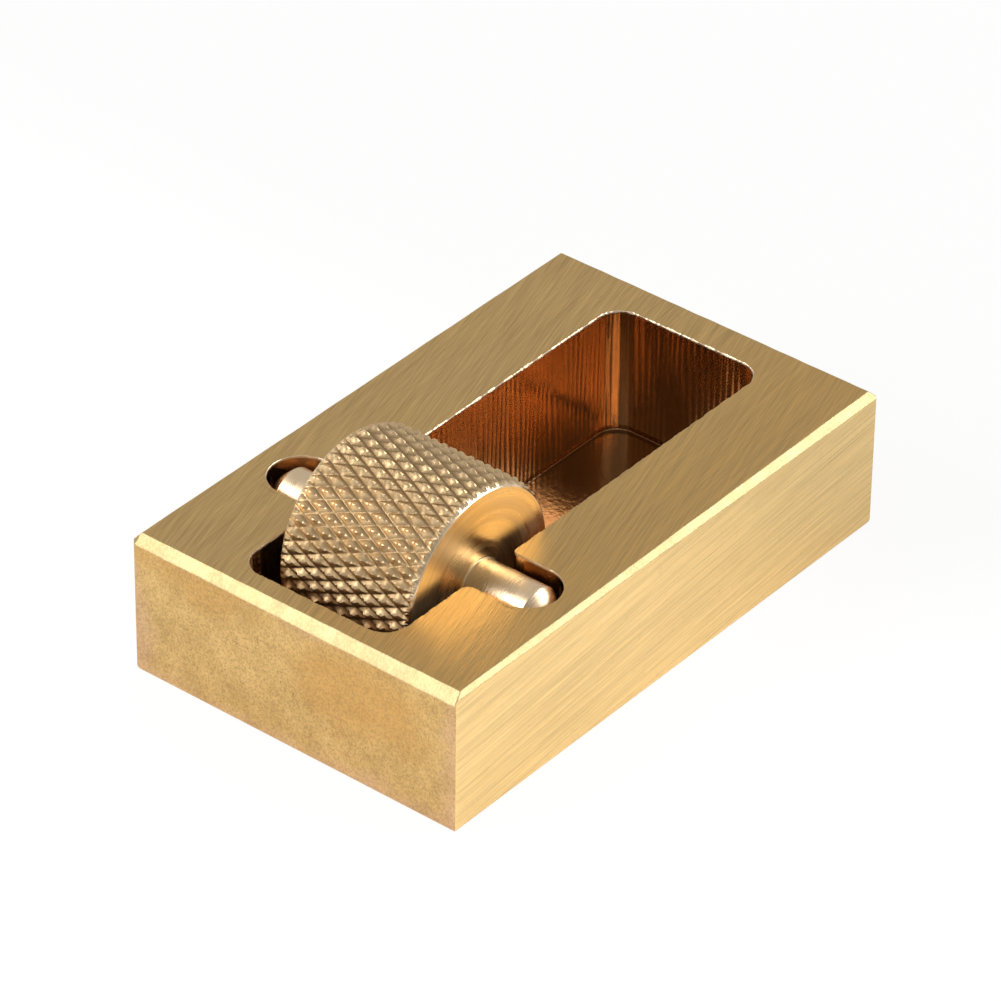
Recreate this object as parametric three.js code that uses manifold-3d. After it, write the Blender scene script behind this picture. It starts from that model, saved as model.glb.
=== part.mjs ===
// Roller tray: a brass block with a deep milled pocket and a knurled brass roller that lies
// across it, its two stub axles resting in open-topped slots in the long walls.
// Units are millimetres. +X runs along the block, away from the roller end; +Y across it; +Z up.
// The origin is the middle of the block's bottom face.

import * as THREE from "three";
import { mergeVertices } from "three/addons/utils/BufferGeometryUtils.js";
import Module from "manifold-3d";

// ---- Driving dimensions ----

// Block, cut from flat bar
const BLOCK_LENGTH = 49;
const BLOCK_WIDTH = 30;
const BLOCK_HEIGHT = 12;
const ROLLER_END_CHAMFER = 0.75;
const FAR_END_CHAMFER = 0.45;
const LONG_EDGE_CHAMFER = 0.45;
const CORNER_BREAK = 0.25;

// Pocket, milled from the top face
const ROLLER_END_WALL = 2.3;
const FAR_END_WALL = 3.4;
const POCKET_WIDTH = 14;
const POCKET_CORNER_RADIUS = 2;
const FLOOR_THICKNESS = 1.2;

// Axle slots, one in each long wall
const SLOT_WIDTH = 5.1;
const SLOT_WALL = 1.9;
const SLOT_FLOOR = 7.8;
const SLOT_MOUTH_RADIUS = 0.8;

// Roller, turned and knurled in one piece
const ROLLER_FROM_END = 13.35;
const DRUM_DIAMETER = 16.3;
const DRUM_WIDTH = 12.1;
const DRUM_CHAMFER = 0.55;
const AXLE_DIAMETER = 4.3;
const AXLE_LENGTH = 24.9;
const AXLE_TIP_LENGTH = 1;
const AXLE_TIP_DIAMETER = 2.4;
const AXLE_ROOT_RADIUS = 0.25;

// Fits and fineness
const AXLE_SEAT_GAP = 0.02;
const CUTTER_OVERRUN = 1;
const CORNER_STEPS = 8;
const MOUTH_STEPS = 4;
const TURNED_STEPS = 72;

// ---- Places worked out from them ----

const endX = BLOCK_LENGTH / 2;
const sideY = BLOCK_WIDTH / 2;
const pocketMinX = -endX + ROLLER_END_WALL;
const pocketMaxX = endX - FAR_END_WALL;
const pocketY = POCKET_WIDTH / 2;
const slotEndY = sideY - SLOT_WALL;
const slotRadius = SLOT_WIDTH / 2;
const rollerX = -endX + ROLLER_FROM_END;
const axleRadius = AXLE_DIAMETER / 2;
const rollerZ = SLOT_FLOOR + AXLE_SEAT_GAP + axleRadius;

// ---- Materials ----

const blockBrass = new THREE.MeshStandardMaterial({
  name: "brushed brass",
  color: 0xc9a368,
  roughness: 0.38,
  metalness: 1,
});

const rollerBrass = new THREE.MeshStandardMaterial({
  name: "turned brass",
  color: 0xc29a66,
  roughness: 0.3,
  metalness: 1,
});

// ---- Solids ----

const wasm = await Module();
wasm.setup();

/** A closed three.js geometry as a solid that can be cut. */
function toSolid(geometry) {
  const bare = geometry.clone();
  bare.deleteAttribute("normal");
  bare.deleteAttribute("uv");
  const merged = mergeVertices(bare, 1e-4);
  return new wasm.Manifold(new wasm.Mesh({
    numProp: 3,
    vertProperties: new Float32Array(merged.attributes.position.array),
    triVerts: new Uint32Array(merged.index.array),
  }));
}

/** A cut solid as a three.js geometry. */
function toGeometry(solid) {
  const mesh = solid.getMesh();
  const geometry = new THREE.BufferGeometry();
  geometry.setAttribute("position", new THREE.BufferAttribute(mesh.vertProperties, 3));
  geometry.setIndex(new THREE.BufferAttribute(mesh.triVerts, 1));
  geometry.computeVertexNormals();
  return geometry;
}

/** A flat outline carried straight up from z = bottom to z = top. */
function prism(shape, bottom, top, curveSegments) {
  const geometry = new THREE.ExtrudeGeometry(shape, {
    depth: top - bottom,
    bevelEnabled: false,
    curveSegments,
  });
  return geometry.translate(0, 0, bottom);
}

/** A rectangle whose four corners are cut off, each by its own amount. */
function cutRectangle(minU, maxU, minV, maxV, cuts) {
  const shape = new THREE.Shape();
  shape.moveTo(minU + cuts.lowLeft, minV);
  shape.lineTo(maxU - cuts.lowRight, minV);
  shape.lineTo(maxU, minV + cuts.lowRight);
  shape.lineTo(maxU, maxV - cuts.highRight);
  shape.lineTo(maxU - cuts.highRight, maxV);
  shape.lineTo(minU + cuts.highLeft, maxV);
  shape.lineTo(minU, maxV - cuts.highLeft);
  shape.lineTo(minU, minV + cuts.lowLeft);
  return shape;
}

/** The bar itself: what the plan, side and end outlines have in common. */
function barSolid() {
  const plan = cutRectangle(-endX, endX, -sideY, sideY, {
    lowLeft: CORNER_BREAK,
    lowRight: CORNER_BREAK,
    highRight: CORNER_BREAK,
    highLeft: CORNER_BREAK,
  });
  const side = cutRectangle(-endX, endX, 0, BLOCK_HEIGHT, {
    lowLeft: CORNER_BREAK,
    lowRight: CORNER_BREAK,
    highRight: FAR_END_CHAMFER,
    highLeft: ROLLER_END_CHAMFER,
  });
  const end = cutRectangle(-sideY, sideY, 0, BLOCK_HEIGHT, {
    lowLeft: CORNER_BREAK,
    lowRight: CORNER_BREAK,
    highRight: LONG_EDGE_CHAMFER,
    highLeft: LONG_EDGE_CHAMFER,
  });
  const reachX = endX + CUTTER_OVERRUN;
  const reachY = sideY + CUTTER_OVERRUN;
  const planSolid = toSolid(prism(plan, -CUTTER_OVERRUN, BLOCK_HEIGHT + CUTTER_OVERRUN, 1));
  const sideSolid = toSolid(prism(side, -reachY, reachY, 1).rotateX(Math.PI / 2));
  const endSolid = toSolid(prism(end, -reachX, reachX, 1).rotateX(Math.PI / 2).rotateZ(Math.PI / 2));
  return planSolid.intersect(sideSolid).intersect(endSolid);
}

/** The pocket's cutter: a rectangle with the end mill's radius in its corners. */
function pocketCutter() {
  const r = POCKET_CORNER_RADIUS;
  const shape = new THREE.Shape();
  shape.moveTo(pocketMinX + r, -pocketY);
  shape.lineTo(pocketMaxX - r, -pocketY);
  shape.absarc(pocketMaxX - r, -pocketY + r, r, -Math.PI / 2, 0, false);
  shape.lineTo(pocketMaxX, pocketY - r);
  shape.absarc(pocketMaxX - r, pocketY - r, r, 0, Math.PI / 2, false);
  shape.lineTo(pocketMinX + r, pocketY);
  shape.absarc(pocketMinX + r, pocketY - r, r, Math.PI / 2, Math.PI, false);
  shape.lineTo(pocketMinX, -pocketY + r);
  shape.absarc(pocketMinX + r, -pocketY + r, r, Math.PI, 1.5 * Math.PI, false);
  return toSolid(prism(shape, FLOOR_THICKNESS, BLOCK_HEIGHT + CUTTER_OVERRUN, CORNER_STEPS));
}

/** One slot's cutter: round at its end, with the two corners at its mouth rounded over. */
function slotCutter() {
  const mouth = SLOT_MOUTH_RADIUS;
  const left = rollerX - slotRadius;
  const right = rollerX + slotRadius;
  const shape = new THREE.Shape();
  shape.moveTo(left - mouth, pocketY - CUTTER_OVERRUN);
  shape.lineTo(right + mouth, pocketY - CUTTER_OVERRUN);
  shape.lineTo(right + mouth, pocketY);
  for (let step = 1; step <= MOUTH_STEPS; step += 1) {
    const turn = (step / MOUTH_STEPS) * (Math.PI / 2);
    const x = right + mouth - mouth * Math.sin(turn);
    shape.lineTo(x, pocketY + mouth - mouth * Math.cos(turn));
  }
  shape.lineTo(right, slotEndY - slotRadius);
  shape.absarc(rollerX, slotEndY - slotRadius, slotRadius, 0, Math.PI, false);
  shape.lineTo(left, pocketY + mouth);
  for (let step = MOUTH_STEPS - 1; step >= 0; step -= 1) {
    const turn = (step / MOUTH_STEPS) * (Math.PI / 2);
    const x = left - mouth + mouth * Math.sin(turn);
    shape.lineTo(x, pocketY + mouth - mouth * Math.cos(turn));
  }
  return toSolid(prism(shape, SLOT_FLOOR, BLOCK_HEIGHT + CUTTER_OVERRUN, 2 * CORNER_STEPS));
}

/** The block: the bar less its pocket and its two slots. */
function blockGeometry() {
  const slot = slotCutter();
  const oppositeSlot = slot.mirror([0, 1, 0]);
  const block = barSolid()
    .subtract(pocketCutter())
    .subtract(slot)
    .subtract(oppositeSlot);
  return toGeometry(block);
}

/** Half of the roller's outline, from the middle of an axle tip out to the drum's face. */
function rollerHalfProfile() {
  const faceY = DRUM_WIDTH / 2;
  const tipY = AXLE_LENGTH / 2;
  const drumRadius = DRUM_DIAMETER / 2;
  const rootRadius = axleRadius + AXLE_ROOT_RADIUS;
  const rootMiddle = AXLE_ROOT_RADIUS * (1 - Math.SQRT1_2);
  return [
    new THREE.Vector2(0, tipY),
    new THREE.Vector2(AXLE_TIP_DIAMETER / 2, tipY),
    new THREE.Vector2(axleRadius, tipY - AXLE_TIP_LENGTH),
    new THREE.Vector2(axleRadius, faceY + AXLE_ROOT_RADIUS),
    new THREE.Vector2(axleRadius + rootMiddle, faceY + rootMiddle),
    new THREE.Vector2(rootRadius, faceY),
    new THREE.Vector2(drumRadius - DRUM_CHAMFER, faceY),
    new THREE.Vector2(drumRadius, faceY - DRUM_CHAMFER),
  ];
}

/** The roller: drum and stub axles as one turned solid about the Y axis. */
function rollerGeometry() {
  const half = rollerHalfProfile();
  const lower = half.map((point) => new THREE.Vector2(point.x, -point.y));
  const upper = half.reverse();
  return new THREE.LatheGeometry([...lower, ...upper], TURNED_STEPS);
}

// ---- Assembly ----

const block = new THREE.Mesh(blockGeometry(), blockBrass);
block.name = "tray_block";

const roller = new THREE.Mesh(rollerGeometry(), rollerBrass);
roller.name = "knurled_roller";
roller.position.set(rollerX, 0, rollerZ);

const rollerTray = new THREE.Group();
rollerTray.name = "roller_tray";
rollerTray.add(block, roller);

export default rollerTray;
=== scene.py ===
"""Looks for the roller tray: a brushed brass block with a milled pocket and a knurled roller."""

import math

import bmesh
import bpy
import numpy as np
from mathutils import Matrix, Vector


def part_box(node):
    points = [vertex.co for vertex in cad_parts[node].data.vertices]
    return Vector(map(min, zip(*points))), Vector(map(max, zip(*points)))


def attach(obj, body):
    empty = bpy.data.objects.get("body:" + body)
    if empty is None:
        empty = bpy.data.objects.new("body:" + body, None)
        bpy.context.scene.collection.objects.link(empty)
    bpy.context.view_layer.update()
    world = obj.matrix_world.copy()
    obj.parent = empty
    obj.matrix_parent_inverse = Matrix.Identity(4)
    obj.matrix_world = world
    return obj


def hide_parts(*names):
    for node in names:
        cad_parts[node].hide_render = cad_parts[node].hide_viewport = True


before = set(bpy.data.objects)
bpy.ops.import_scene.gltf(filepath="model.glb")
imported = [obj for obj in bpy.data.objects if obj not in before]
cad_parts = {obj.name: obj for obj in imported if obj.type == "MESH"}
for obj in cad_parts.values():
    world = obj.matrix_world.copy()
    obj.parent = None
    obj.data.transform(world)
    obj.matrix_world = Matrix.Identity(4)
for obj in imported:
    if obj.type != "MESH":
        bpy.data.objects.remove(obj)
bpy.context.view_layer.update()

bl_info = {
    "name": "Roller tray",
    "version": (1, 0, 0),
    "blender": (4, 5, 0),
    "location": "3D Viewport > Sidebar > Roller tray",
    "description": "Builds a milled brass tray and its knurled brass roller",
    "category": "Add Mesh",
}

MM = 0.001
BLOCK_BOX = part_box("tray_block")
ROLLER_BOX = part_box("knurled_roller")
ROLLER_MIDDLE = (ROLLER_BOX[0] + ROLLER_BOX[1]) / 2


def span(box, axis):
    """The size of a box along one axis, in millimetres."""
    return (box[1][axis] - box[0][axis]) / MM


def length_property(name, description, millimetres):
    """A length a user can change, held in metres."""
    return bpy.props.FloatProperty(
        name=name,
        description=description,
        default=millimetres * MM,
        min=0.0,
        precision=5,
        subtype="DISTANCE",
        unit="LENGTH",
    )


def angle_property(name, description, degrees):
    """An angle a user can change, held in radians."""
    return bpy.props.FloatProperty(
        name=name,
        description=description,
        default=math.radians(degrees),
        subtype="ANGLE",
        unit="ROTATION",
    )


def plain_property(name, description, value):
    """A number a user can change."""
    return bpy.props.FloatProperty(name=name, description=description, default=value, min=0.0)


def colour_property(name, description, colour):
    """A colour a user can change."""
    return bpy.props.FloatVectorProperty(
        name=name,
        description=description,
        default=colour,
        min=0.0,
        max=1.0,
        size=3,
        subtype="COLOR",
    )


# ---- Sizes and colours a user would change ----


class TraySizes(bpy.types.PropertyGroup):
    """Sizes of the block."""

    length: length_property("Length", "Along the block", span(BLOCK_BOX, 0))
    width: length_property("Width", "Across the block", span(BLOCK_BOX, 1))
    height: length_property("Height", "From the bottom to the top", BLOCK_BOX[1].z / MM)
    roller_end_wall: length_property("Roller end wall", "Pocket wall at the roller end", 2.3)
    far_end_wall: length_property("Far end wall", "Pocket wall at the far end", 3.4)
    pocket_width: length_property("Pocket width", "Across the pocket", 14.0)
    pocket_radius: length_property("Pocket radius", "Radius in the pocket's corners", 2.0)
    floor: length_property("Floor", "Thickness left under the pocket", 1.2)
    slot_width: length_property("Slot width", "Across an axle slot", 5.1)
    slot_wall: length_property("Slot wall", "Metal left at a slot's end", 1.9)
    slot_floor: length_property("Slot floor", "Height of the slots' floors", 7.8)
    mouth_radius: length_property("Mouth radius", "Rounding at a slot's mouth, near the end", 0.8)
    sharp_mouth: length_property("Sharp mouth radius", "Rounding at a slot's other side", 0.45)
    end_chamfer: length_property("Roller end chamfer", "Bevel along the roller end", 0.75)
    far_chamfer: length_property("Far end chamfer", "Bevel along the far end", 0.43)
    side_chamfer: length_property("Side chamfer", "Bevel along the long edges", 0.32)
    side_chamfer_gain: length_property("Side chamfer gain", "How much one bevel widens", 0.26)
    corner_radius: length_property("Corner radius", "Rounding of the upright corners", 0.22)
    chatter: length_property("Cutter marks", "Height of the ridges on the pocket walls", 0.026)
    burr: length_property("Burr", "Height of the burr round the pocket", 0.014)


class RollerSizes(bpy.types.PropertyGroup):
    """Sizes of the roller."""

    diameter: length_property("Diameter", "Across the drum", span(ROLLER_BOX, 2))
    drum_width: length_property("Drum width", "Between the drum's faces", 12.1)
    drum_chamfer: length_property("Drum chamfer", "Bevel at each end of the drum", 0.55)
    axle: length_property("Axle diameter", "Across an axle", 4.3)
    length: length_property("Length", "From tip to tip", span(ROLLER_BOX, 1))
    tip_length: length_property("Tip length", "Length of an axle's taper", 1.0)
    tip_diameter: length_property("Tip diameter", "Across an axle's flat end", 2.4)
    knurl_depth: length_property("Knurl depth", "From the tips to the grooves", 0.39)
    knurl_step: length_property("Knurl step", "Along the drum between crossings", 1.235)
    knurl_lines: bpy.props.IntProperty(
        name="Knurl lines",
        description="How many grooves of each hand go round the drum",
        default=46,
        min=12,
        max=90,
    )


class BrassColours(bpy.types.PropertyGroup):
    """Colours of the brass."""

    brushed: colour_property("Brushed brass", "Sanded faces of the block", (0.98, 0.65, 0.265))
    side: colour_property("Side brass", "Long sides of the block", (0.98, 0.70, 0.31))
    sawn: colour_property("Sawn brass", "End face of the block", (0.78, 0.53, 0.215))
    milled: colour_property("Milled brass", "Inside the pocket", (0.84, 0.56, 0.325))
    turned: colour_property("Turned brass", "Roller axles", (1.0, 0.77, 0.51))
    faced: colour_property("Faced brass", "Roller end faces", (0.78, 0.585, 0.325))
    filed: colour_property("Filed brass", "Bevels of the block", (0.84, 0.63, 0.31))
    pocket_floor: colour_property("Pocket floor", "Bottom of the pocket", (0.33, 0.2, 0.11))
    knurled: colour_property("Knurled brass", "Roller drum", (0.93, 0.67, 0.37))


class StudioSettings(bpy.types.PropertyGroup):
    """Camera and light."""

    azimuth: angle_property("Azimuth", "Turn of the camera round the tray", -51.231)
    elevation: angle_property("Elevation", "Height of the camera above the horizon", 35.356)
    roll: angle_property("Roll", "Tilt of the camera about its own line of sight", 0.742)
    distance: length_property("Distance", "From the camera to the middle of the tray", 451.42)
    aim_height: length_property("Aim height", "Height of the point the camera looks at", 6.02)
    aim_left: length_property("Aim left", "How far the aim is moved to the camera's left", 0.775)
    aim_up: length_property("Aim up", "How far the aim is moved up in the view", 2.078)
    lens: plain_property("Lens", "Focal length in millimetres", 221.68)
    box_strength: plain_property("Softbox strength", "Brightness of the two softboxes", 3.6)
    room_strength: plain_property("Room strength", "Brightness of the plain room", 0.51)


# ---- Small helpers for shapes ----


def line(start, end, count):
    """Points from start towards end, without the end: start plus an even share of the way."""
    share = np.arange(count)[:, None] / count
    return np.asarray(start) + share * (np.asarray(end, float) - np.asarray(start, float))


def arc(centre, radius, first, last, count):
    """Points on a circle, without the last: centre plus radius times the cosine and sine."""
    angle = first + (last - first) * np.arange(count) / count
    return np.column_stack([centre[0] + radius * np.cos(angle), centre[1] + radius * np.sin(angle)])


def outward(points):
    """Unit normals of a closed counter-clockwise loop: the chord between the two neighbours,
    turned a quarter turn clockwise."""
    chord = np.roll(points, -1, 0) - np.roll(points, 1, 0)
    normal = np.column_stack([chord[:, 1], -chord[:, 0]])
    return normal / np.linalg.norm(normal, axis=1, keepdims=True)


def wander(where, waves, seed):
    """Smooth irregular values between about -1 and 1: a sum of sines of the place, each with
    a seeded frequency near 1 and a seeded phase."""
    random = np.random.default_rng(seed)
    total = np.zeros_like(where)
    for _ in range(waves):
        total += np.sin(where * random.uniform(0.35, 2.4) + random.uniform(0, 2 * math.pi))
    return total / math.sqrt(waves)


def bend(start, corner, end, steps):
    """Rounds a corner: points of the quadratic curve with weights (1-t)^2, 2t(1-t) and t^2."""
    t = np.linspace(0, 1, steps)[:, None]
    start, corner, end = (np.asarray(p, float) for p in (start, corner, end))
    return (1 - t) ** 2 * start + 2 * t * (1 - t) * corner + t**2 * end


# Points closer than this, in metres, are one point
MERGE_DISTANCE = 1e-8
# Edges that turn by more than this are drawn sharp
BLOCK_SHARP_DEGREES = 38
ROLLER_SHARP_DEGREES = 24


def new_piece(name, points, faces, finishes, finish_of_face, sharp_degrees, body, node):
    """Makes a mesh object from whole arrays, merges doubled points, and hangs it on its body."""
    mesh = bpy.data.meshes.new(name)
    mesh.from_pydata((points * MM).tolist(), [], faces.tolist())
    for finish in finishes:
        mesh.materials.append(finish)
    mesh.polygons.foreach_set("material_index", finish_of_face.astype(np.int32))
    whole = bmesh.new()
    whole.from_mesh(mesh)
    bmesh.ops.remove_doubles(whole, verts=whole.verts, dist=MERGE_DISTANCE)
    bmesh.ops.recalc_face_normals(whole, faces=whole.faces)
    whole.to_mesh(mesh)
    whole.free()
    mesh.shade_smooth()
    mesh.set_sharp_from_angle(angle=math.radians(sharp_degrees))
    piece = bpy.data.objects.new(name, mesh)
    bpy.context.scene.collection.objects.link(piece)
    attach(piece, body)
    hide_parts(node)
    return piece


# ---- Small helpers for finishes ----


def put(tree, kind, feeds=None, **settings):
    """Adds a node, gives it its settings, and sets or links its inputs."""
    node = tree.nodes.new(kind)
    for name, value in settings.items():
        setattr(node, name, value)
    for name, value in (feeds or {}).items():
        if isinstance(value, bpy.types.NodeSocket):
            tree.links.new(value, node.inputs[name])
        else:
            node.inputs[name].default_value = value
    return node


def calc(tree, operation, first, second=0.0):
    """One step of arithmetic on values."""
    return put(tree, "ShaderNodeMath", {0: first, 1: second}, operation=operation).outputs[0]


def between(tree, share, first, second):
    """A value that goes from first to second as share goes from 0 to 1."""
    difference = calc(tree, "SUBTRACT", second, first)
    return calc(tree, "ADD", first, calc(tree, "MULTIPLY", difference, share))


def weighted(tree, first, first_share, second, second_share):
    """The sum of two values, each times its own share."""
    first_part = calc(tree, "MULTIPLY", first, first_share)
    return calc(tree, "ADD", first_part, calc(tree, "MULTIPLY", second, second_share))


def length_across(tree, first, second):
    """The length of two sides at a right angle: the square root of the sum of their squares."""
    squares = [calc(tree, "MULTIPLY", side, side) for side in (first, second)]
    return calc(tree, "SQRT", calc(tree, "ADD", *squares))


def vector_step(tree, operation, first, second, output="Vector"):
    """One step of arithmetic on vectors."""
    feeds = {0: first} if second is None else {0: first, 1: second}
    return put(tree, "ShaderNodeVectorMath", feeds, operation=operation).outputs[output]


def split(tree, vector):
    """The X, Y and Z of a vector."""
    return put(tree, "ShaderNodeSeparateXYZ", {0: vector}).outputs


def spread(tree, value, low, high, to_low=0.0, to_high=1.0):
    """Stretches a value from one range to another."""
    feeds = {"Value": value, "From Min": low, "From Max": high, "To Min": to_low, "To Max": to_high}
    return put(tree, "ShaderNodeMapRange", feeds).outputs["Result"]


def blend_colours(tree, share, first, second):
    """Mixes two colours."""
    mix = put(tree, "ShaderNodeMix", data_type="RGBA", blend_type="MIX")
    for index, value in ((0, share), (6, first), (7, second)):
        if isinstance(value, bpy.types.NodeSocket):
            tree.links.new(value, mix.inputs[index])
        else:
            mix.inputs[index].default_value = value
    return mix.outputs[2]


def noise(tree, vector, scale, detail=2.0, roughness=0.5):
    """Soft noise from 0 to 1."""
    feeds = {"Vector": vector, "Scale": scale, "Detail": detail, "Roughness": roughness}
    return put(tree, "ShaderNodeTexNoise", feeds).outputs["Fac"]


def new_group(name, inputs, outputs):
    """An empty node group with named sockets: its tree, what it is given and what it puts out."""
    tree = bpy.data.node_groups.new(name, "ShaderNodeTree")
    for in_out, sockets in (("INPUT", inputs), ("OUTPUT", outputs)):
        for socket, kind, *default in sockets:
            made = tree.interface.new_socket(name=socket, in_out=in_out, socket_type=kind)
            if default:
                made.default_value = default[0]
    given = put(tree, "NodeGroupInput").outputs
    return tree, given, put(tree, "NodeGroupOutput").inputs


def opaque(colour):
    """A colour with full alpha."""
    return (colour[0], colour[1], colour[2], 1.0)


def darker(colour, share):
    """A colour times a share, with full alpha."""
    return opaque([part * share for part in colour])


def brushed_lines_group():
    """Scratches that run along the X axis of the vector given: noise that is stretched along X
    in three widths. Puts out a height and a broad streak mask."""
    inputs = [
        ("Vector", "NodeSocketVector"),
        ("Lines per metre", "NodeSocketFloat", 5000.0),
        ("Stretch", "NodeSocketFloat", 0.03),
    ]
    outputs = [("Height", "NodeSocketFloat"), ("Streak", "NodeSocketFloat")]
    tree, given, result = new_group("Brushed lines", inputs, outputs)
    stretch = put(tree, "ShaderNodeCombineXYZ", {0: given["Stretch"], 1: 1.0, 2: 1.0})
    along = vector_step(tree, "MULTIPLY", given["Vector"], stretch.outputs[0])
    lines = given["Lines per metre"]
    fine = noise(tree, along, lines, 2.0, 0.6)
    middle = noise(tree, along, calc(tree, "MULTIPLY", lines, 0.37), 3.0, 0.65)
    broad = noise(tree, along, calc(tree, "MULTIPLY", lines, 0.09), 3.0, 0.6)
    height = weighted(tree, fine, 0.55, middle, 0.45)
    tree.links.new(height, result["Height"])
    streak = weighted(tree, middle, 0.5, broad, 0.5)
    tree.links.new(spread(tree, streak, 0.3, 0.7), result["Streak"])
    return tree


def tarnish_group():
    """Cloudy change of colour: two sizes of noise choose between a clean and a tarnished colour,
    and fine dark specks lie on top."""
    inputs = [
        ("Vector", "NodeSocketVector"),
        ("Clean", "NodeSocketColor", (0.9, 0.67, 0.3, 1.0)),
        ("Tarnished", "NodeSocketColor", (0.8, 0.5, 0.2, 1.0)),
        ("Specks", "NodeSocketColor", (0.25, 0.14, 0.06, 1.0)),
        ("Patches per metre", "NodeSocketFloat", 250.0),
        ("Amount", "NodeSocketFloat", 0.5),
        ("Speck amount", "NodeSocketFloat", 0.3),
    ]
    outputs = [("Colour", "NodeSocketColor"), ("Mask", "NodeSocketFloat")]
    tree, given, result = new_group("Tarnish", inputs, outputs)
    vector = given["Vector"]
    patches = given["Patches per metre"]
    cloud = noise(tree, vector, patches, 4.0, 0.6)
    grit = noise(tree, vector, calc(tree, "MULTIPLY", patches, 9.0), 3.0, 0.7)
    both = weighted(tree, cloud, 0.65, grit, 0.35)
    mask = calc(tree, "MULTIPLY", spread(tree, both, 0.35, 0.65), given["Amount"])
    colour = blend_colours(tree, mask, given["Clean"], given["Tarnished"])
    specks = noise(tree, vector, calc(tree, "MULTIPLY", patches, 14.0), 2.0, 0.6)
    dots = calc(tree, "MULTIPLY", spread(tree, specks, 0.64, 0.72), given["Speck amount"])
    spotted = blend_colours(tree, dots, colour, given["Specks"])
    tree.links.new(spotted, result["Colour"])
    tree.links.new(mask, result["Mask"])
    return tree


def turning_rings_group():
    """Marks left by a lathe tool: noise read by the distance from the Y axis and the place along
    it, and hardly by the angle, so that it makes rings on a face and round an axle."""
    inputs = [
        ("Vector", "NodeSocketVector"),
        ("Rings per metre", "NodeSocketFloat", 4000.0),
    ]
    outputs = [("Height", "NodeSocketFloat"), ("Streak", "NodeSocketFloat")]
    tree, given, result = new_group("Turning rings", inputs, outputs)
    x, y, z = split(tree, given["Vector"])
    radius = length_across(tree, x, z)
    wobble = calc(tree, "MULTIPLY", calc(tree, "ARCTAN2", z, x), 0.0002)
    place = put(tree, "ShaderNodeCombineXYZ", {0: radius, 1: y, 2: wobble})
    rings = given["Rings per metre"]
    fine = noise(tree, place.outputs[0], rings, 3.0, 0.7)
    broad = noise(tree, place.outputs[0], calc(tree, "MULTIPLY", rings, 0.22), 2.0, 0.5)
    height = weighted(tree, fine, 0.6, broad, 0.4)
    tree.links.new(height, result["Height"])
    tree.links.new(spread(tree, broad, 0.35, 0.65), result["Streak"])
    return tree


GROUP_MAKERS = {
    "Brushed lines": brushed_lines_group,
    "Tarnish": tarnish_group,
    "Turning rings": turning_rings_group,
}


def use_group(tree, name, feeds):
    """Places a shared effect in a material. It is made the first time it is asked for."""
    group = bpy.data.node_groups.get(name) or GROUP_MAKERS[name]()
    return put(tree, "ShaderNodeGroup", feeds, node_tree=group).outputs


def use_tarnish(tree, place, clean, tarnished, patches, amount, specks):
    """Places the cloudy change of colour: its outputs are the colour and the mask."""
    feeds = {
        "Vector": place,
        "Clean": opaque(clean),
        "Tarnished": opaque(tarnished),
        "Patches per metre": patches,
        "Amount": amount,
        "Speck amount": specks,
    }
    return use_group(tree, "Tarnish", feeds)


def use_lines(tree, vector, lines, stretch):
    """Places the scratches: its outputs are the height and the streak mask."""
    feeds = {"Vector": vector, "Lines per metre": lines, "Stretch": stretch}
    return use_group(tree, "Brushed lines", feeds)


def new_metal(name, roughness, anisotropy=0.0):
    """A metal material: its node tree, its shader, and Object coordinates."""
    material = bpy.data.materials.new(name)
    material.use_nodes = True
    tree = material.node_tree
    tree.nodes.clear()
    shader = put(
        tree,
        "ShaderNodeBsdfPrincipled",
        {"Metallic": 1.0, "Roughness": roughness, "Anisotropic": anisotropy},
    )
    put(tree, "ShaderNodeOutputMaterial", {"Surface": shader.outputs[0]})
    coordinates = put(tree, "ShaderNodeTexCoord").outputs["Object"]
    return material, tree, shader, coordinates


def bump(tree, shader, height, depth, before=None):
    """Feeds a height from 0 to 1, times a depth in metres, to the shader's normal. Before is the
    normal that an earlier bump puts out."""
    feeds = {"Height": height, "Distance": depth, "Strength": 1.0}
    if before is not None:
        feeds["Normal"] = before
    node = put(tree, "ShaderNodeBump", feeds)
    tree.links.new(node.outputs[0], shader.inputs["Normal"])
    return node.outputs[0]


def dress(tree, shader, colour, rough, height, depth):
    """Feeds a finish's colour, roughness and bump to its shader, and returns the bump's normal."""
    tree.links.new(colour, shader.inputs["Base Color"])
    tree.links.new(rough, shader.inputs["Roughness"])
    return bump(tree, shader, height, depth)


UNTURNED = (0.0, 0.0, 0.0)
# Fixed colours of the finishes
# The first gold is painted light: a reflection of the roller's face on the block's top, not a
# colour of the brass
REFLECTED_GOLD = (0.92, 0.56, 0.19, 1.0)
PINK_BORDER = (0.70, 0.455, 0.27, 1.0)
ORANGE_STAIN = (0.66, 0.39, 0.125, 1.0)
BROWN_SPECKLE = (0.36, 0.23, 0.10, 1.0)
# The pale tip colour is partly painted light: the knurl's worn tips carry a painted highlight
WORN_HIGHLIGHT_BRASS = (1.0, 0.82, 0.6, 1.0)
# Where the painted gold reflection on the block starts and where it is full, along Y
REFLECTION_FROM_TO = (0.004, -0.011)


def flat_turn(degrees):
    """A turn about Z."""
    return (0.0, 0.0, math.radians(degrees))


def turned_vector(tree, coordinates, turn, centre=UNTURNED):
    """Object coordinates moved so that centre is the origin and then turned."""
    feeds = {"Vector": coordinates, "Location": [-c for c in centre]}
    moved = put(tree, "ShaderNodeMapping", feeds).outputs[0]
    return put(tree, "ShaderNodeMapping", {"Vector": moved, "Rotation": turn}).outputs[0]


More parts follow.
